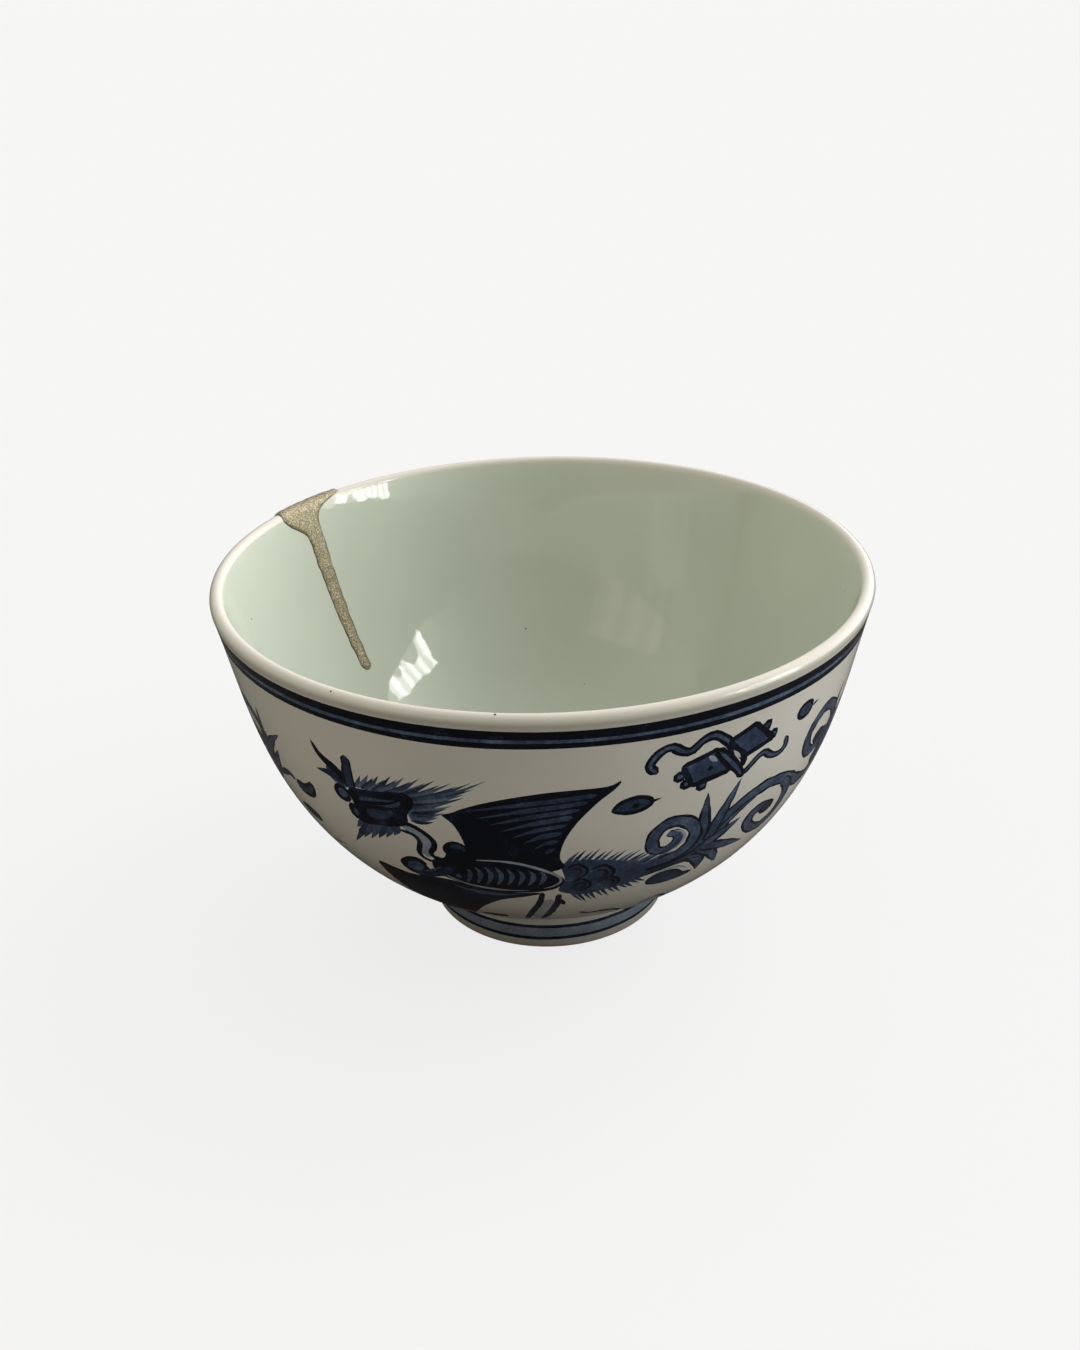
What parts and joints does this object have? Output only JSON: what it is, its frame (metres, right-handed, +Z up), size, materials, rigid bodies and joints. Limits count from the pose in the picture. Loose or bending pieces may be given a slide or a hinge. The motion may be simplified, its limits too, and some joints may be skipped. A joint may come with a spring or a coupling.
{
  "type": "kintsugi cup",
  "caption": "Small round porcelain teacup with a thin flaring wall and a low foot ring, its rim chip and crack filled with gilded lacquer.",
  "frame": {"origin": "centre of the foot ring's resting plane", "axes": "+Z up along the cup's axis, -Y towards the front, with the mend at the back left"},
  "size_m": [0.076, 0.076, 0.045],
  "materials": {
    "glazed_porcelain": "gloss",
    "gilded_lacquer": "satin"
  },
  "bodies": {
    "root": {"porcelain_cup": "glazed_porcelain", "gilded_mend": "gilded_lacquer"}
  },
  "joints": []
}
